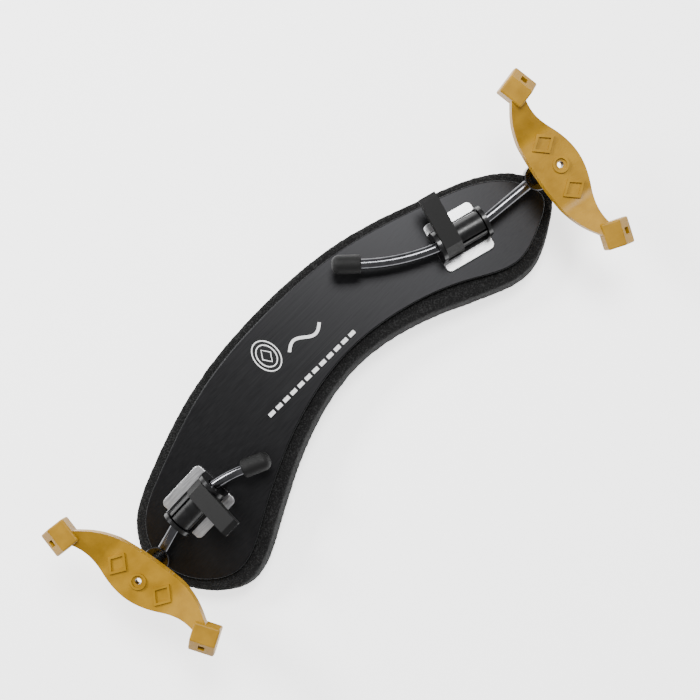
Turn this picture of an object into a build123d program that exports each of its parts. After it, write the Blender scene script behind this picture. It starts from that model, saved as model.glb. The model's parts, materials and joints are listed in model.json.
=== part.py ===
from build123d import *

import os
from dataclasses import dataclass
from math import asin, atan2, cos, degrees, radians, sin, sqrt

# A violin shoulder rest, in millimetres. +X runs along the rest, towards the end with the longer rod, +Y
# towards its convex edge and +Z up, towards the violin's back. It stands on its foam pad, forks up. Each
# end has one clamp with its own rod and fork. The pieces are placed about the middle of the support
# plate's top, and at the end all are moved so that the origin is the bottom centre of the rest's box.

# Support plate and foam pad: both are bent along X, over the shoulder, to one arch.
ARCH_RADIUS = 900.0
PLATE_THICK = 2.0
PLATE_EDGE_ROUND = 0.5
PAD_THICK = 13.0
PAD_FLAT_FROM = 88.0
PRISM_DEPTH = 60.0
PLATE_OUTLINE = [
    (98, -1), (91, 11.5), (66, 24.5), (33, 34.6), (-5, 38.2), (-44, 34.7), (-77, 24), (-94, 14.5),
    (-99.5, 2), (-95.5, -12), (-81, -22), (-62, -15.5), (-33, -1.5), (5, 6.5), (33, 2.6), (55, -6),
    (74, -14.4), (89, -10.5),
]
PAD_OUTLINE = [
    (103, -1), (95.5, 12), (68, 26.8), (34, 37.8), (-5, 41.6), (-45, 38), (-80, 27), (-98, 16.5),
    (-104.5, 2), (-100, -15), (-82, -30), (-62, -23.8), (-32, -9), (5, -1), (34, -6.8), (56, -16.2),
    (75, -21.6), (93, -14.5),
]

# Clamp: a steel base plate, a black saddle with two ears, a split sleeve round the rod, and a lever
# whose hub squeezes the sleeve. Lengths are in the clamp's own frame: x along the rod and outwards.
BASE_X, BASE_Y, BASE_THICK = 20.4, 20.0, 1.0
BASE_CORNER = 2.0
SADDLE_THICK = 1.0
EAR_THICK = 1.5
EAR_HALF_WIDTH = 6.0
EAR_HOLE_RADIUS = 2.6
BEND_ROUND = 0.25
HUB_RADIUS = 5.7
HUB_CLEARANCE = 0.3
SLEEVE_RADIUS = 4.8
SLEEVE_SLIT = 1.0
SLIT_ANGLE = 39.0
RUNNING_GAP = 0.08
TURNED_CHAMFER = 0.3
LEVER_WIDTH = 6.7
LEVER_REACH = 17.6
LEVER_BEVEL = 2.0
LEVER_THICK = 2.9
LEVER_RISE = 8.0
LEVER_ROOT_HEIGHT = 6.6
LEVER_POCKET_WALL = 0.8
LEVER_POCKET_DEPTH = 5.0
RIVET_SPACING = 10.0
RIVET_HEAD_RADIUS, RIVET_SHANK_RADIUS, RIVET_HEAD_DEPTH = 2.0, 1.3, 0.7

EAR_INNER = BASE_X / 2 - EAR_THICK
EAR_MIDDLE = BASE_X / 2 - EAR_THICK / 2
FOOT_TOP = BASE_THICK + SADDLE_THICK
ROD_HEIGHT = FOOT_TOP + HUB_RADIUS + HUB_CLEARANCE

# Rod: 4 mm steel, with a rubber cap on its tail and a threaded eye at its outer end.
ROD_RADIUS = 2.0
TAIL_STRAIGHT = 8.5
CAP_RADIUS, CAP_LENGTH, CAP_END_ROUND, CAP_MOUTH_ROUND = 3.5, 10.6, 2.6, 0.7
EYE_RADIUS, EYE_THICK = 4.9, 4.4
EYE_BORE_RADIUS = 2.46
EYE_RIM_WIDTH = 0.6
EYE_GROOVE_DEPTH = 0.4
EYE_SOCKET_DEPTH = 1.2

# Fork: a steel core moulded into a rubbery cover, on a threaded post, with a rubber foot on each arm.
POST_RADIUS = 2.4
POST_TAIL = 3.5
POST_TENON_RADIUS, POST_HEAD_RADIUS, POST_HEAD_THICK = 1.2, 2.0, 0.5
THREAD_PITCH, THREAD_DEPTH = 0.8, 0.25
THREAD_RUNOUT = 1.0
POST_TIP_CHAMFER = 0.5
FORK_GAP = 10.0
COVER_THICK = 4.0
CORE_THICK = 1.5
CORE_INSET = 0.9
FORK_FLAT_HALF = 14.0
ARM_LEVEL_FROM = 28.0
ARM_RISE = 7.5
ARM_BEND_RADIUS = 7.0
ARM_END = 32.0
FORK_HOLE_X = 5.8
FORK_HOLE_RADIUS = 1.2
FORK_INNER_EDGE = [(4.5, 32), (1.9, 28), (-1.1, 22), (-3, 12)]
FORK_OUTER_EDGE = [(13.6, 0), (10.4, 13), (7.9, 18.5), (6.9, 25), (9.2, 32)]
FOOT_X, FOOT_Y, FOOT_TURN = 7.0, 31.0, 17.5
FOOT_DROP = 1.9
FOOT_WIDTH = 9.6
FOOT_EDGE_ROUND = 0.7
FOOT_HOLE = 2.4
FOOT_HOLE_DEPTH = 3.0
FOOT_PROFILE = [(-5.2, 0), (-5.2, 6.8), (1.2, 7.6), (5.6, 3.6), (5.6, 1), (4.6, 0)]
ORNAMENT_DEPTH = 0.8
ORNAMENT_Y = 9.7
RING_RADIUS, RING_WIDTH = 3.0, 0.8
DIAMOND_X, DIAMOND_Y, DIAMOND_RIM = 4.8, 4.1, 1.3


@dataclass
class Side:
    """One end of the rest: where its clamp stands, which way it points and how its rod is bent."""

    name: str
    x: float
    y: float
    heading: float
    bend_radius: float
    bend_outer: float
    bend_tail: float
    eye_x: float
    fork_twist: float
    lever_lift: float
    rod_tilt: float

    @property
    def bend_centre(self):
        """Distance from the rod's line through the ears to the centre of its bend, towards +y."""
        return sqrt(self.bend_radius**2 - EAR_MIDDLE**2)

    @property
    def eye_heading(self):
        """Angle of the rod's straight outer run, in degrees."""
        return degrees(asin(self.bend_outer / self.bend_radius))

    @property
    def outer_run(self):
        """Length of the rod's straight run from the end of its bend to the eye's centre."""
        return (self.eye_x - self.bend_outer) / cos(radians(self.eye_heading))

    @property
    def eye_point(self):
        """Centre of the eye in the rod's frame."""
        bend_end_y = self.bend_centre - sqrt(self.bend_radius**2 - self.bend_outer**2)
        return (self.eye_x, bend_end_y + self.outer_run * sin(radians(self.eye_heading)))

    @property
    def clamp_frame(self):
        """Middle of the base plate's underside on the arch, x pointing outwards along the rod."""
        drop = ARCH_RADIUS - sqrt(ARCH_RADIUS**2 - self.x**2)
        slope = degrees(asin(self.x / ARCH_RADIUS))
        return Location((self.x, self.y, -drop), (0, slope, 0)) * Location((0, 0, 0), (0, 0, self.heading))

    @property
    def hub_frame(self):
        """The clamp's frame, raised to the rod's axis."""
        return self.clamp_frame * Location((0, 0, ROD_HEIGHT))

    @property
    def rod_frame(self):
        """The hub's frame, turned about x with the rod and its sleeve."""
        return self.hub_frame * Location((0, 0, 0), (self.rod_tilt, 0, 0))

    @property
    def eye_frame(self):
        """The eye's centre, x pointing outwards along the fork."""
        return self.rod_frame * Location((*self.eye_point, 0), (0, 0, self.eye_heading + self.fork_twist))

    @property
    def fork_frame(self):
        """Middle of the fork's underside on the post's axis."""
        return self.eye_frame * Location((0, 0, EYE_THICK / 2 + FORK_GAP))


SIDES = [
    Side("right", 64.5, 7.6, -14.7, 80.0, 13.0, 37.6, 34.6, -3.6, 0.0, 8.0),
    Side("left", -73.3, 6.4, 181.7, 52.0, 12.0, 21.8, 24.6, -4.6, 9.0, 0.0),
]


def arched_slab(outline, top_gap, thickness):
    """A plate of the outline's shape, bent to the arch; its top lies top_gap under the arch's surface."""
    with BuildPart() as slab:
        with BuildSketch(Plane.XY.offset(-PRISM_DEPTH)):
            with BuildLine():
                Spline(*outline, periodic=True)
            make_face()
        extrude(amount=PRISM_DEPTH + 1)
        with BuildSketch(Plane.XZ):
            with Locations((0, -ARCH_RADIUS)):
                Circle(ARCH_RADIUS - top_gap)
                Circle(ARCH_RADIUS - top_gap - thickness, mode=Mode.SUBTRACT)
        extrude(amount=PRISM_DEPTH, both=True, mode=Mode.INTERSECT)
    return slab.part


def support_plate(rivets):
    with BuildPart() as plate:
        add(arched_slab(PLATE_OUTLINE, 0, PLATE_THICK))
        top = plate.faces().filter_by(GeomType.CYLINDER).sort_by(Axis.Z)[-1]
        fillet(top.edges(), PLATE_EDGE_ROUND)
        for rivet in rivets:
            add(rivet, mode=Mode.SUBTRACT)
    return plate.part


def foam_pad():
    """The pad under the plate; its underside is pressed flat where it stands."""
    inner_radius = ARCH_RADIUS - PLATE_THICK - PAD_THICK
    floor = sqrt(inner_radius**2 - PAD_FLAT_FROM**2) - ARCH_RADIUS
    with BuildPart() as pad:
        add(arched_slab(PAD_OUTLINE, PLATE_THICK, PAD_THICK))
        split(bisect_by=Plane.XY.offset(floor), keep=Keep.TOP)
    return pad.part


def rivet_pair():
    """Two flush rivets through the saddle's foot, the base plate and the support plate."""
    with BuildPart() as rivets:
        with Locations((-RIVET_SPACING / 2, 0, FOOT_TOP), (RIVET_SPACING / 2, 0, FOOT_TOP)):
            Cone(
                RIVET_SHANK_RADIUS,
                RIVET_HEAD_RADIUS,
                RIVET_HEAD_DEPTH,
                align=(Align.CENTER, Align.CENTER, Align.MAX),
            )
            Cylinder(
                RIVET_SHANK_RADIUS,
                FOOT_TOP + PLATE_THICK - RUNNING_GAP,
                align=(Align.CENTER, Align.CENTER, Align.MAX),
            )
    return rivets.part


def base_plate(rivets):
    with BuildPart() as base:
        with BuildSketch():
            RectangleRounded(BASE_X, BASE_Y, BASE_CORNER)
        extrude(amount=BASE_THICK)
        fillet(base.faces().sort_by(Axis.Z)[-1].edges(), BEND_ROUND)
        add(rivets, mode=Mode.SUBTRACT)
    return base.part


def saddle(rivets):
    """A narrow foot with two ears bent up from it; the rod runs through the ears."""
    with BuildPart() as body:
        with BuildSketch(Plane.XY.offset(BASE_THICK)):
            Rectangle(BASE_X, 2 * EAR_HALF_WIDTH)
        extrude(amount=SADDLE_THICK)
        with BuildSketch(Plane.YZ.offset(EAR_INNER), Plane.YZ.offset(-EAR_INNER - EAR_THICK)):
            with Locations((0, ROD_HEIGHT)):
                Circle(EAR_HALF_WIDTH)
            with Locations((0, (ROD_HEIGHT + BASE_THICK) / 2)):
                Rectangle(2 * EAR_HALF_WIDTH, ROD_HEIGHT - BASE_THICK)
        extrude(amount=EAR_THICK)
        with BuildSketch(Plane.YZ):
            with Locations((0, ROD_HEIGHT)):
                Circle(EAR_HOLE_RADIUS)
        extrude(amount=BASE_X, both=True, mode=Mode.SUBTRACT)
        add(rivets, mode=Mode.SUBTRACT)
    return body.part


def rod_route(side):
    """The rod's centre line from its tail, round its bend, to the eye's socket."""
    tail_angle = degrees(asin(side.bend_tail / side.bend_radius))
    with BuildLine() as route:
        bend = CenterArc(
            (0, side.bend_centre), side.bend_radius, -90 - tail_angle, tail_angle + side.eye_heading
        )
        Line(bend @ 0 - (bend % 0) * TAIL_STRAIGHT, bend @ 0)
        Line(bend @ 1, bend @ 1 + (bend % 1) * (side.outer_run - EYE_RADIUS + EYE_SOCKET_DEPTH))
    return route.wires()[0]


def round_bar(route, radius):
    with BuildPart() as bar:
        with BuildSketch(Plane(origin=route @ 0, z_dir=route % 0)):
            Circle(radius)
        sweep(path=route)
    return bar.part


def clamp_sleeve(side):
    """A split plastic sleeve between the ears, bored to the rod's bend."""
    bore = round_bar(rod_route(side), ROD_RADIUS + RUNNING_GAP)
    with BuildPart() as sleeve:
        with BuildSketch(Plane.YZ):
            Circle(SLEEVE_RADIUS)
        extrude(amount=EAR_INNER - RUNNING_GAP, both=True)
        chamfer(sleeve.edges().filter_by(GeomType.CIRCLE), TURNED_CHAMFER)
        with BuildSketch(Plane.XY.rotated((SLIT_ANGLE, 0, 0))):
            Rectangle(BASE_X, SLEEVE_SLIT)
        extrude(amount=2 * SLEEVE_RADIUS, mode=Mode.SUBTRACT)
        add(bore, mode=Mode.SUBTRACT)
    return sleeve.part


def clamp_lever():
    """A hub round the sleeve with a flat arm that lies to the +y side when the clamp is shut."""
    rise = sin(radians(LEVER_RISE))
    flat_end = LEVER_REACH - LEVER_BEVEL
    top_end = LEVER_ROOT_HEIGHT + flat_end * rise
    arm = [
        (-4.6, 3.4),
        (-2.6, LEVER_ROOT_HEIGHT - 0.3),
        (flat_end, top_end),
        (LEVER_REACH, top_end - LEVER_BEVEL * 0.4),
        (LEVER_REACH, top_end - LEVER_THICK),
        (SLEEVE_RADIUS, LEVER_ROOT_HEIGHT + SLEEVE_RADIUS * rise - LEVER_THICK - 0.6),
        (3.0, 3.0),
    ]
    start = -EAR_INNER + RUNNING_GAP
    with BuildPart() as lever:
        with BuildSketch(Plane.YZ.offset(start)):
            Circle(HUB_RADIUS)
            with BuildLine():
                Polyline(*arm, close=True)
            make_face()
        extrude(amount=LEVER_WIDTH)
        end_face = lever.faces().sort_by(Axis.Y)[-1]
        with BuildSketch(end_face):
            Rectangle(LEVER_THICK - 2 * LEVER_POCKET_WALL, LEVER_WIDTH - 2 * LEVER_POCKET_WALL)
        extrude(amount=-LEVER_POCKET_DEPTH, mode=Mode.SUBTRACT)
        with BuildSketch(Plane.YZ):
            Circle(SLEEVE_RADIUS + RUNNING_GAP)
        extrude(amount=BASE_X, both=True, mode=Mode.SUBTRACT)
    return lever.part


def rod_cap(side, rod):
    """A rubber cap pushed over the rod's straight tail."""
    route = rod_route(side)
    inward = -(route % 0)
    mouth = route @ 0 - inward * TAIL_STRAIGHT
    with BuildPart() as cap:
        with BuildSketch(Plane(origin=mouth, z_dir=inward)):
            Circle(CAP_RADIUS)
        extrude(amount=CAP_LENGTH)
        fillet(cap.faces().sort_by(Axis(mouth, inward))[-1].edges(), CAP_END_ROUND)
        fillet(cap.faces().sort_by(Axis(mouth, inward))[0].edges(), CAP_MOUTH_ROUND)
        add(rod, mode=Mode.SUBTRACT)
    return cap.part


def rod_eye(side, rod):
    """The round eye at the rod's outer end, bored for the fork's post."""
    centre = Plane((*side.eye_point, 0))
    with BuildPart() as eye:
        with BuildSketch(centre):
            Circle(EYE_RADIUS)
        extrude(amount=EYE_THICK / 2, both=True)
        chamfer(eye.edges().filter_by(GeomType.CIRCLE), TURNED_CHAMFER)
        with BuildSketch(centre.offset(EYE_THICK / 2)):
            Circle(EYE_RADIUS - EYE_RIM_WIDTH - TURNED_CHAMFER)
            Circle(EYE_BORE_RADIUS + EYE_RIM_WIDTH, mode=Mode.SUBTRACT)
        extrude(amount=-EYE_GROOVE_DEPTH, mode=Mode.SUBTRACT)
        with BuildSketch(centre):
            Circle(EYE_BORE_RADIUS)
        extrude(amount=EYE_THICK, both=True, mode=Mode.SUBTRACT)
        add(rod, mode=Mode.SUBTRACT)
    return eye.part


def fork_post():
    """The threaded post, in the fork's frame: shoulder under the core, a tenon and a riveted head."""
    core_bottom = (COVER_THICK - CORE_THICK) / 2
    shoulder = core_bottom - RUNNING_GAP
    bottom = -FORK_GAP - EYE_THICK - POST_TAIL
    head_bottom = core_bottom + CORE_THICK + RUNNING_GAP
    with BuildPart() as post:
        with BuildSketch(Plane.XY.offset(bottom)):
            Circle(POST_RADIUS)
        extrude(amount=shoulder - bottom)
        chamfer(post.faces().sort_by(Axis.Z)[0].edges(), POST_TIP_CHAMFER)
        turns = int((FORK_GAP + EYE_THICK + POST_TAIL - 2 * THREAD_RUNOUT) / THREAD_PITCH)
        for turn in range(turns):
            level = bottom + THREAD_RUNOUT + turn * THREAD_PITCH
            with BuildSketch(Plane.XY.offset(level)):
                Circle(POST_RADIUS + 1)
                Circle(POST_RADIUS - THREAD_DEPTH, mode=Mode.SUBTRACT)
            extrude(amount=THREAD_PITCH / 2, mode=Mode.SUBTRACT)
        with BuildSketch(Plane.XY.offset(shoulder)):
            Circle(POST_TENON_RADIUS)
        extrude(amount=head_bottom - shoulder)
        with BuildSketch(Plane.XY.offset(head_bottom)):
            Circle(POST_HEAD_RADIUS)
        extrude(amount=POST_HEAD_THICK)
    return post.part


def fork_band(bottom, thickness, inset):
    """A strip of the fork's plan, level in its middle, with both arms rising to the feet."""
    spine = [
        (-ARM_END - 1, ARM_RISE),
        (-ARM_LEVEL_FROM, ARM_RISE),
        (-FORK_FLAT_HALF, 0),
        (FORK_FLAT_HALF, 0),
        (ARM_LEVEL_FROM, ARM_RISE),
        (ARM_END + 1, ARM_RISE),
    ]
    inner = [(x + inset, y) for x, y in FORK_INNER_EDGE]
    outer = [(x - inset, y) for x, y in FORK_OUTER_EDGE]
    with BuildPart() as band:
        with BuildSketch(Plane.XY.offset(-1)):
            with BuildLine():
                inside = Spline(*inner, *[(x, -y) for x, y in reversed(inner)])
                outside = Spline(*[(x, -y) for x, y in reversed(outer[1:])], *outer)
                Line(inside @ 0, outside @ 1)
                Line(inside @ 1, outside @ 0)
            make_face()
        extrude(amount=ARM_RISE + COVER_THICK + 2)
        with BuildSketch(Plane.YZ):
            with BuildLine():
                low_points = [(y, z + bottom) for y, z in spine]
                high_points = [(y, z + thickness) for y, z in low_points]
                low = FilletPolyline(*low_points, radius=ARM_BEND_RADIUS)
                high = FilletPolyline(*high_points, radius=ARM_BEND_RADIUS)
                Line(low @ 0, high @ 0)
                Line(low @ 1, high @ 1)
            make_face()
        extrude(amount=30, both=True, mode=Mode.INTERSECT)
    return band.part


def fork_core():
    bottom = (COVER_THICK - CORE_THICK) / 2
    with BuildPart() as core:
        add(fork_band(bottom, CORE_THICK, CORE_INSET))
        with BuildSketch():
            Circle(POST_TENON_RADIUS + RUNNING_GAP)
            with Locations((FORK_HOLE_X, 0)):
                Circle(FORK_HOLE_RADIUS)
        extrude(amount=COVER_THICK, mode=Mode.SUBTRACT)
    return core.part


def foot_place(hand):
    """Where a foot stands on the fork, hand +1 or -1 for its arm."""
    return Location((FOOT_X, hand * FOOT_Y, ARM_RISE - FOOT_DROP), (0, 0, hand * FOOT_TURN))


def foot_block(hand):
    """The outer shape of a foot."""
    with BuildPart() as block:
        with BuildSketch(Plane.XZ):
            with BuildLine():
                Polyline(*FOOT_PROFILE, close=True)
            make_face()
        extrude(amount=FOOT_WIDTH / 2, both=True)
        fillet(block.edges(), FOOT_EDGE_ROUND)
    return block.part.moved(foot_place(hand))


def fork_foot(hand, core):
    """A foot with a square hole in its sloping face, fitted over the core."""
    (top_x, top_z), (low_x, low_z) = FOOT_PROFILE[2:4]
    slope = degrees(atan2(top_z - low_z, low_x - top_x))
    face = Location(((top_x + low_x) / 2, 0, (top_z + low_z) / 2), (0, slope, 0))
    with BuildPart() as foot:
        add(foot_block(hand))
        with BuildSketch(Plane(foot_place(hand) * face)):
            Rectangle(FOOT_HOLE, FOOT_HOLE)
        extrude(amount=FOOT_HOLE_DEPTH, both=True, mode=Mode.SUBTRACT)
        add(core, mode=Mode.SUBTRACT)
    return foot.part


def fork_cover(core):
    """The moulded cover, with a ring round its hole and a raised diamond on each side."""
    core_bottom = (COVER_THICK - CORE_THICK) / 2
    pocket = core_bottom + CORE_THICK + POST_HEAD_THICK + 2 * RUNNING_GAP
    with BuildPart() as cover:
        add(fork_band(0, COVER_THICK, 0))
        with BuildSketch(Plane.XY.offset(COVER_THICK)):
            with Locations((FORK_HOLE_X, 0)):
                Circle(RING_RADIUS)
                Circle(RING_RADIUS - RING_WIDTH, mode=Mode.SUBTRACT)
            for hand in (-1, 1):
                with Locations((FORK_HOLE_X - 1, hand * ORNAMENT_Y)):
                    Polygon((DIAMOND_X, 0), (0, DIAMOND_Y), (-DIAMOND_X, 0), (0, -DIAMOND_Y))
                    Polygon(
                        (DIAMOND_X - DIAMOND_RIM, 0),
                        (0, DIAMOND_Y - DIAMOND_RIM),
                        (DIAMOND_RIM - DIAMOND_X, 0),
                        (0, DIAMOND_RIM - DIAMOND_Y),
                        mode=Mode.SUBTRACT,
                    )
        extrude(amount=ORNAMENT_DEPTH)
        with BuildSketch():
            with Locations((FORK_HOLE_X, 0)):
                Circle(FORK_HOLE_RADIUS)
        extrude(amount=COVER_THICK + 1, mode=Mode.SUBTRACT)
        with BuildSketch():
            Circle(POST_RADIUS + RUNNING_GAP)
        extrude(amount=core_bottom, mode=Mode.SUBTRACT)
        with BuildSketch():
            Circle(POST_HEAD_RADIUS + RUNNING_GAP)
        extrude(amount=pocket, mode=Mode.SUBTRACT)
        add(core, mode=Mode.SUBTRACT)
        for hand in (-1, 1):
            add(foot_block(hand), mode=Mode.SUBTRACT)
    return cover.part


def side_pieces(side):
    """Every piece of one end, in place, by node name."""
    rivets = rivet_pair()
    rod = round_bar(rod_route(side), ROD_RADIUS)
    lifted = side.hub_frame * Location((0, 0, 0), (side.lever_lift, 0, 0))
    core = fork_core()
    convex = 1 if side.name == "right" else -1
    pieces = {
        "base_plate": base_plate(rivets).moved(side.clamp_frame),
        "saddle": saddle(rivets).moved(side.clamp_frame),
        "rivets": rivets.moved(side.clamp_frame),
        "clamp_sleeve": clamp_sleeve(side).moved(side.rod_frame),
        "clamp_lever": clamp_lever().moved(lifted),
        "rod": rod.moved(side.rod_frame),
        "rod_cap": rod_cap(side, rod).moved(side.rod_frame),
        "rod_eye": rod_eye(side, rod).moved(side.rod_frame),
        "post": fork_post().moved(side.fork_frame),
        "fork_core": core.moved(side.fork_frame),
        "fork_cover": fork_cover(core).moved(side.fork_frame),
        "foot_outer": fork_foot(convex, core).moved(side.fork_frame),
        "foot_inner": fork_foot(-convex, core).moved(side.fork_frame),
    }
    return {f"{side.name}_{node}": piece for node, piece in pieces.items()}


pieces = {"foam_pad": foam_pad()}
for side in SIDES:
    pieces.update(side_pieces(side))
pieces["support_plate"] = support_plate([pieces[f"{side.name}_rivets"] for side in SIDES])

box = Compound(children=[Compound(piece.wrapped) for piece in pieces.values()]).bounding_box()
to_origin = Location((-box.center().X, -box.center().Y, -box.min.Z))

os.makedirs("parts", exist_ok=True)
for node, piece in pieces.items():
    placed = piece.moved(to_origin)
    placed.label = node
    export_step(placed, f"parts/{node}.step")
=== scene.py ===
import json
from math import cos, pi, radians, sin

import bmesh
import bpy
from mathutils import Matrix, Vector, kdtree, noise


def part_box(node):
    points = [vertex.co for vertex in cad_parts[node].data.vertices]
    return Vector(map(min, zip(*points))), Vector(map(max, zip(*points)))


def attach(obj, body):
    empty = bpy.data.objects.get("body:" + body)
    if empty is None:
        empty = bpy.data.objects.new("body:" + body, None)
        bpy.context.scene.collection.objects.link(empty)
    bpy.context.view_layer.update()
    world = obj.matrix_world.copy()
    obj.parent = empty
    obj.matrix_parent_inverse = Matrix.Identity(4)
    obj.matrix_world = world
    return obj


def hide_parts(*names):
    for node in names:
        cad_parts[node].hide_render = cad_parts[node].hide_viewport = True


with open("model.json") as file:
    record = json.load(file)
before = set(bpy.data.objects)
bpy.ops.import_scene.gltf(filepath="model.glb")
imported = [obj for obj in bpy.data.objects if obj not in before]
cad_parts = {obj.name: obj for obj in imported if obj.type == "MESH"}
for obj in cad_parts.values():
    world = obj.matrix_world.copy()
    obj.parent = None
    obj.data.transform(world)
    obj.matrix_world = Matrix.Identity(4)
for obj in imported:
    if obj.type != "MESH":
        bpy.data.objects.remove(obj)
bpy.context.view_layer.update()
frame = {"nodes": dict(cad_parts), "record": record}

# A violin shoulder rest, seen from above. All lengths are in metres, in the frame's own axes.
MM = 0.001
PLATE_LOW, PLATE_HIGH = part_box("support_plate")
PAD_LOW, PAD_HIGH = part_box("foam_pad")

# Camera and studio
VIEW_DISTANCE = 0.5
VIEW_TILT = radians(1.5)
VIEW_LENS = 69.5
VIEW_TARGET = Vector((0.0064, 0.0047, PLATE_HIGH.z))
FLOOR_SIZE = 6.0
FLOOR_GLOW = 1.9
WORLD_LIGHT = 0.55
KEY_PLACE, KEY_SIZE, KEY_POWER = (0.3, 0.25, 0.9), 0.3, 11
FILL_PLACE, FILL_SIZE, FILL_POWER = (-0.15, 0.6, 0.5), 0.2, 6

# Foam pad
FOAM_VOXEL = 1.1 * MM
FOAM_SMOOTHING = 5
FOAM_SMOOTHING_FACTOR = 0.6
FOAM_LEAN = 2.8 * MM
FOAM_LEAN_WIDTH = 9 * MM
FOAM_GRAIN = 0.16 * MM
FOAM_GRAIN_SIZE = 1.3 * MM
FOAM_SKIN = 0.25 * MM

# Printed mark on the plate
MARK_LIFT = 0.04 * MM
MARK_LINE = 0.45 * MM
PLATE_ARCH_RISE = 5.4 * MM
BADGE_PLACE = Vector((-17, 25)) * MM
BADGE_HALF_WIDTH, BADGE_HALF_HEIGHT, BADGE_INNER_SCALE = 4.6, 6.4, 0.72
DIAMOND_HALF_WIDTH, DIAMOND_HALF_HEIGHT = 2.0, 3.0
WAVE_LEFT, WAVE_Y, WAVE_STEP, WAVE_SWING, WAVE_POINTS = -10, 20, 0.6, 2, 27
WAVE_LINE = 1.2 * MM
DASHES, DASH_LEFT, DASH_Y, DASH_PITCH, DASH_HALF = 12, -32, 8.5, 3.8, 1.35
DASH_LINE = 1.5 * MM

# Fine bevels that catch the light on sharp edges
METAL_BEVEL = 0.15 * MM
COVER_BEVEL = 0.35 * MM
BEVEL_ANGLE = radians(40)
BEVELLED = ("base_plate", "saddle", "clamp_lever", "fork_cover")


def srgb(red, green, blue):
    """A colour given in 0 to 255 display values, as linear light."""
    def linear(value):
        value /= 255
        return value / 12.92 if value <= 0.04045 else ((value + 0.055) / 1.055) ** 2.4
    return (linear(red), linear(green), linear(blue), 1)


class Material:
    """A node material: a Principled shader with helpers that add textures to it."""

    def __init__(self, name, roughness, metallic=0.0, specular=0.5, coat=0.0):
        self.material = bpy.data.materials.new(name)
        self.material.use_nodes = True
        self.tree = self.material.node_tree
        self.shader = self.tree.nodes["Principled BSDF"]
        self.shader.inputs["Roughness"].default_value = roughness
        self.shader.inputs["Metallic"].default_value = metallic
        self.shader.inputs["Specular IOR Level"].default_value = specular
        self.shader.inputs["Coat Weight"].default_value = coat
        self.heights = []

    def node(self, kind, **settings):
        made = self.tree.nodes.new(kind)
        for key, value in settings.items():
            setattr(made, key, value)
        return made

    def link(self, source, target):
        self.tree.links.new(source, target)

    def noise(self, scale, detail=4.0, stretch=(1, 1, 1)):
        """Noise in the object's own coordinates, in cycles per metre."""
        place = self.node("ShaderNodeTexCoord")
        squeeze = self.node("ShaderNodeMapping")
        squeeze.inputs["Scale"].default_value = stretch
        texture = self.node("ShaderNodeTexNoise")
        texture.inputs["Scale"].default_value = scale
        texture.inputs["Detail"].default_value = detail
        self.link(place.outputs["Object"], squeeze.inputs["Vector"])
        self.link(squeeze.outputs["Vector"], texture.inputs["Vector"])
        return texture.outputs["Fac"]

    def cells(self, scale):
        """Distance to the nearest cell centre, for pores."""
        place = self.node("ShaderNodeTexCoord")
        texture = self.node("ShaderNodeTexVoronoi")
        texture.inputs["Scale"].default_value = scale
        self.link(place.outputs["Object"], texture.inputs["Vector"])
        return texture.outputs["Distance"]

    def colour(self, factor, *stops):
        """The base colour from a ramp over factor; each stop is a position and a colour."""
        ramp = self.node("ShaderNodeValToRGB")
        elements = ramp.color_ramp.elements
        while len(elements) < len(stops):
            elements.new(0.5)
        for element, (position, value) in zip(elements, stops):
            element.position = position
            element.color = value
        self.link(factor, ramp.inputs["Fac"])
        self.link(ramp.outputs["Color"], self.shader.inputs["Base Color"])

    def rough(self, factor, low, high):
        spread = self.node("ShaderNodeMapRange")
        spread.inputs["From Min"].default_value = 0.3
        spread.inputs["From Max"].default_value = 0.7
        spread.inputs["To Min"].default_value = low
        spread.inputs["To Max"].default_value = high
        self.link(factor, spread.inputs["Value"])
        self.link(spread.outputs["Result"], self.shader.inputs["Roughness"])

    def bump(self, factor, strength, distance):
        bump = self.node("ShaderNodeBump")
        bump.inputs["Strength"].default_value = strength
        bump.inputs["Distance"].default_value = distance
        self.link(factor, bump.inputs["Height"])
        if self.heights:
            self.link(self.heights[-1].outputs["Normal"], bump.inputs["Normal"])
        self.link(bump.outputs["Normal"], self.shader.inputs["Normal"])
        self.heights.append(bump)


def foam_material():
    made = Material("foam", 0.95, specular=0.25)
    pores = made.cells(1900)
    made.colour(pores, (0.1, srgb(3, 3, 3)), (0.5, srgb(14, 14, 14)), (0.85, srgb(38, 38, 38)))
    made.bump(pores, 0.8, 0.4 * MM)
    made.bump(made.noise(500), 0.5, 0.8 * MM)
    return made.material


def plate_material():
    """Black anodised aluminium, brushed along the rest."""
    made = Material("black_anodised", 0.4, metallic=1.0)
    brushed = made.noise(4200, 4, (0.012, 1, 1))
    made.colour(brushed, (0.3, srgb(34, 34, 35)), (0.7, srgb(41, 41, 42)))
    made.rough(brushed, 0.38, 0.46)
    made.bump(brushed, 0.08, 0.02 * MM)
    return made.material


def bright_steel_material():
    made = Material("bright_steel", 0.25, metallic=1.0)
    brushed = made.noise(2600, 4, (0.05, 1, 1))
    made.colour(brushed, (0.3, srgb(170, 170, 172)), (0.7, srgb(205, 205, 206)))
    made.rough(brushed, 0.3, 0.4)
    made.bump(brushed, 0.05, 0.02 * MM)
    return made.material


def black_steel_material():
    made = Material("black_steel", 0.35, metallic=0.6, coat=0.3)
    mottle = made.noise(700)
    made.colour(mottle, (0.3, srgb(12, 12, 13)), (0.7, srgb(22, 22, 23)))
    made.rough(mottle, 0.25, 0.42)
    made.bump(mottle, 0.1, 0.05 * MM)
    return made.material


def black_nylon_material():
    made = Material("black_nylon", 0.35, specular=0.3)
    mottle = made.noise(600)
    made.colour(mottle, (0.3, srgb(6, 6, 7)), (0.7, srgb(12, 12, 13)))
    made.rough(mottle, 0.28, 0.4)
    made.bump(mottle, 0.08, 0.06 * MM)
    return made.material


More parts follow.
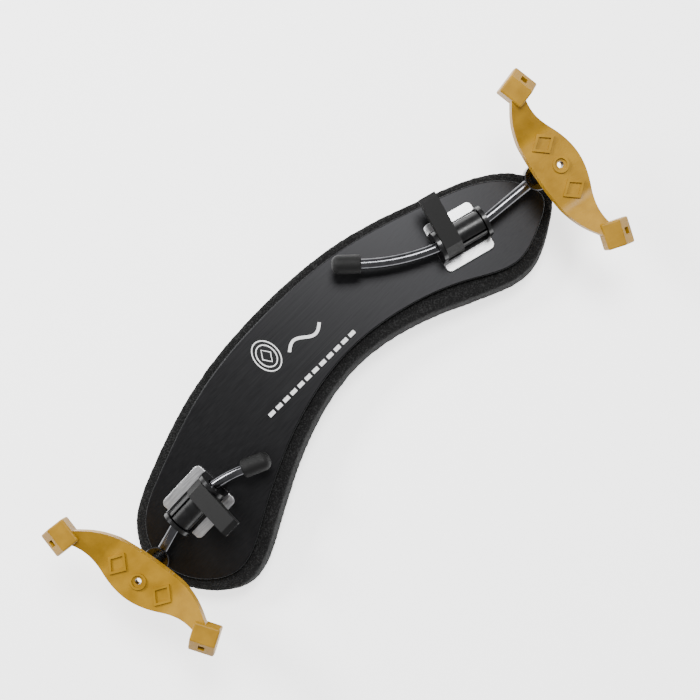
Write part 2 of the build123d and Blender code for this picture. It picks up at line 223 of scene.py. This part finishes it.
def black_plastic_material():
    made = Material("black_plastic", 0.5, specular=0.22)
    grain = made.noise(2600, 3)
    made.colour(grain, (0.3, srgb(9, 9, 9)), (0.7, srgb(15, 15, 15)))
    made.rough(grain, 0.42, 0.6)
    made.bump(grain, 0.25, 0.06 * MM)
    return made.material


def black_chrome_material():
    made = Material("black_chrome", 0.14, metallic=1.0)
    film = made.noise(300)
    made.colour(film, (0.3, srgb(70, 70, 73)), (0.7, srgb(92, 92, 95)))
    made.rough(film, 0.1, 0.2)
    made.bump(film, 0.05, 0.03 * MM)
    return made.material


def black_rubber_material():
    made = Material("black_rubber", 0.6, specular=0.25)
    grain = made.noise(1800, 3)
    made.colour(grain, (0.3, srgb(6, 6, 6)), (0.7, srgb(12, 12, 12)))
    made.rough(grain, 0.55, 0.75)
    made.bump(grain, 0.25, 0.08 * MM)
    return made.material


def ochre_rubber_material():
    made = Material("ochre_rubber", 0.5, specular=0.25)
    cloud = made.noise(160, 5)
    made.colour(cloud, (0.3, srgb(136, 99, 8)), (0.7, srgb(158, 118, 18)))
    made.rough(cloud, 0.38, 0.5)
    made.bump(made.noise(1500, 4), 0.4, 0.12 * MM)
    return made.material


def print_material():
    made = Material("white_print", 0.6)
    ink = made.noise(2500, 3)
    made.colour(ink, (0.3, srgb(205, 205, 205)), (0.7, srgb(238, 238, 238)))
    made.bump(ink, 0.2, 0.02 * MM)
    return made.material


MATERIALS = {
    "foam": foam_material(),
    "black_anodised": plate_material(),
    "bright_steel": bright_steel_material(),
    "black_steel": black_steel_material(),
    "black_nylon": black_nylon_material(),
    "black_plastic": black_plastic_material(),
    "black_chrome": black_chrome_material(),
    "black_rubber": black_rubber_material(),
    "ochre_rubber": ochre_rubber_material(),
}


def paint(piece, material):
    piece.data.materials.clear()
    piece.data.materials.append(material)


def new_piece(name, mesh, body, material):
    """A piece that rides on a body and is painted with the given material."""
    piece = bpy.data.objects.new(name, mesh)
    bpy.context.scene.collection.objects.link(piece)
    paint(piece, material)
    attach(piece, body)


def finish_nodes():
    """Gives every CAD node its material, and the sharp-edged ones a fine bevel.

    The eyes take the rods' black chrome rather than their slot's black steel.
    """
    for entry in frame["record"]["subparts"]:
        name = entry["node"]
        node = frame["nodes"][name]
        paint(node, MATERIALS["black_chrome" if name.endswith("rod_eye") else entry["material_slot"]])
        if name.endswith(BEVELLED):
            bevel = node.modifiers.new("edge", "BEVEL")
            bevel.width = COVER_BEVEL if name.endswith("fork_cover") else METAL_BEVEL
            bevel.segments = 2
            bevel.limit_method = "ANGLE"
            bevel.angle_limit = BEVEL_ANGLE


def applied(piece, kind, **settings):
    """Adds a modifier to a piece and applies it."""
    modifier = piece.modifiers.new(kind, kind)
    for key, value in settings.items():
        setattr(modifier, key, value)
    bpy.context.view_layer.update()
    graph = bpy.context.evaluated_depsgraph_get()
    mesh = bpy.data.meshes.new_from_object(piece.evaluated_get(graph))
    piece.modifiers.remove(modifier)
    piece.data = mesh


def lean_wall(mesh):
    """Leans the wall on the concave side, so that its foot stands further out than its rim."""
    walls = [v.co.to_2d().to_3d() for v in mesh.vertices if v.normal.y < -0.5 and abs(v.normal.z) < 0.5]
    tree = kdtree.KDTree(len(walls))
    for index, place in enumerate(walls):
        tree.insert(place, index)
    tree.balance()
    depth = PAD_HIGH.z - PAD_LOW.z
    for vertex in mesh.vertices:
        distance = tree.find(vertex.co.to_2d().to_3d())[2]
        near = max(0.0, 1 - distance / FOAM_LEAN_WIDTH)
        height = (vertex.co.z - PAD_LOW.z) / depth
        vertex.co.y += FOAM_LEAN * near * near * (3 - 2 * near) * height


def foam_pad():
    """The soft pad: the plain solid with rounded edges, a leaning wall and an open-celled surface."""
    pad = bpy.data.objects.new("soft_pad", frame["nodes"]["foam_pad"].data.copy())
    bpy.context.scene.collection.objects.link(pad)
    applied(pad, "REMESH", mode="VOXEL", voxel_size=FOAM_VOXEL)
    applied(pad, "SMOOTH", factor=FOAM_SMOOTHING_FACTOR, iterations=FOAM_SMOOTHING)
    lean_wall(pad.data)
    pad.data.update()
    normals = [v.normal.copy() for v in pad.data.vertices]
    for vertex, normal in zip(pad.data.vertices, normals):
        place = vertex.co / FOAM_GRAIN_SIZE
        grain = noise.noise(place) + 0.6 * noise.noise(place * 2.3)
        vertex.co += normal * (FOAM_GRAIN * grain - FOAM_SKIN)
    pad.data.shade_smooth()
    paint(pad, MATERIALS["foam"])
    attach(pad, "rest_base")
    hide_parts("foam_pad")


def plate_height(x):
    """Height of the plate's top at x, from the arch's rise over the plate's length."""
    half = (PLATE_HIGH.x - PLATE_LOW.x) / 2
    return PLATE_HIGH.z - PLATE_ARCH_RISE * (x / half) ** 2


def ribbon(mesh, points, width, closed=False):
    """A thin flat line on the plate's top along points."""
    count = len(points)
    sides = []
    for index, point in enumerate(points):
        before = points[index - 1] if closed or index else point
        after = points[(index + 1) % count] if closed or index + 1 < count else point
        across = (after - before).normalized().orthogonal() * width / 2
        pair = []
        for spot in (point - across, point + across):
            pair.append(mesh.verts.new((spot.x, spot.y, plate_height(spot.x) + MARK_LIFT)))
        sides.append(pair)
    for index in range(count if closed else count - 1):
        first, second = sides[index], sides[(index + 1) % count]
        mesh.faces.new((first[0], second[0], second[1], first[1]))


def printed_mark():
    """A plain white mark in place of lettering: an oval badge, a wave and a row of dashes."""
    mesh = bmesh.new()
    for grow in (1.0, BADGE_INNER_SCALE):
        oval = []
        for turn in range(48):
            angle = turn * pi / 24
            spoke = Vector((BADGE_HALF_WIDTH * cos(angle), BADGE_HALF_HEIGHT * sin(angle)))
            oval.append(BADGE_PLACE + spoke * grow * MM)
        ribbon(mesh, oval, MARK_LINE, closed=True)
    diamond = []
    for turn in range(4):
        angle = turn * pi / 2
        spoke = Vector((DIAMOND_HALF_WIDTH * cos(angle), DIAMOND_HALF_HEIGHT * sin(angle)))
        diamond.append(BADGE_PLACE + spoke * MM)
    ribbon(mesh, diamond, MARK_LINE, closed=True)
    wave = []
    for step in range(WAVE_POINTS):
        swing = WAVE_SWING * sin(step / (WAVE_POINTS - 1) * 2 * pi)
        wave.append(Vector((WAVE_LEFT + step * WAVE_STEP, WAVE_Y + swing)) * MM)
    ribbon(mesh, wave, WAVE_LINE)
    for dash in range(DASHES):
        left = DASH_LEFT + dash * DASH_PITCH
        ribbon(mesh, [Vector((left + step * DASH_HALF, DASH_Y)) * MM for step in range(3)], DASH_LINE)
    data = bpy.data.meshes.new("plate_mark")
    mesh.to_mesh(data)
    mesh.free()
    new_piece("plate_mark", data, "rest_base", print_material())


def studio():
    """A pale floor that glows a little, a white world, a soft key light and a smaller fill."""
    floor_mesh = bmesh.new()
    bmesh.ops.create_grid(floor_mesh, x_segments=1, y_segments=1, size=FLOOR_SIZE / 2)
    data = bpy.data.meshes.new("floor")
    floor_mesh.to_mesh(data)
    floor_mesh.free()
    floor = bpy.data.objects.new("floor", data)
    bpy.context.scene.collection.objects.link(floor)
    made = Material("pale_floor", 0.8, specular=0.2)
    made.colour(made.noise(3), (0.3, (0.94, 0.94, 0.94, 1)), (0.7, (0.97, 0.97, 0.97, 1)))
    made.shader.inputs["Emission Color"].default_value = (1, 1, 1, 1)
    made.shader.inputs["Emission Strength"].default_value = FLOOR_GLOW
    paint(floor, made.material)

    world = bpy.data.worlds.new("studio")
    world.use_nodes = True
    world.node_tree.nodes["Background"].inputs["Color"].default_value = (1, 1, 1, 1)
    world.node_tree.nodes["Background"].inputs["Strength"].default_value = WORLD_LIGHT
    bpy.context.scene.world = world

    soft_light("key", KEY_PLACE, KEY_SIZE, KEY_POWER)
    soft_light("fill", FILL_PLACE, FILL_SIZE, FILL_POWER)


def soft_light(name, place, size, power):
    """A square light aimed at the middle of the rest."""
    lamp = bpy.data.lights.new(name, "AREA")
    lamp.size = size
    lamp.energy = power
    light = bpy.data.objects.new(name, lamp)
    light.location = place
    light.rotation_euler = (VIEW_TARGET - Vector(place)).to_track_quat("-Z", "Y").to_euler()
    bpy.context.scene.collection.objects.link(light)


def camera():
    """Nearly straight down, with the rest's +X end at the upper right."""
    away = Vector((0, -sin(VIEW_TILT), cos(VIEW_TILT)))
    up = Vector((1, 1, 0)).normalized()
    right = up.cross(away).normalized()
    up = away.cross(right)
    lens = bpy.data.cameras.new("camera")
    lens.lens = VIEW_LENS
    lens.clip_start = 0.01
    view = bpy.data.objects.new("camera", lens)
    turn = Matrix((right, up, away)).transposed().to_4x4()
    view.matrix_world = Matrix.Translation(VIEW_TARGET + away * VIEW_DISTANCE) @ turn
    bpy.context.scene.collection.objects.link(view)
    bpy.context.scene.camera = view


camera()
studio()
finish_nodes()
foam_pad()
printed_mark()
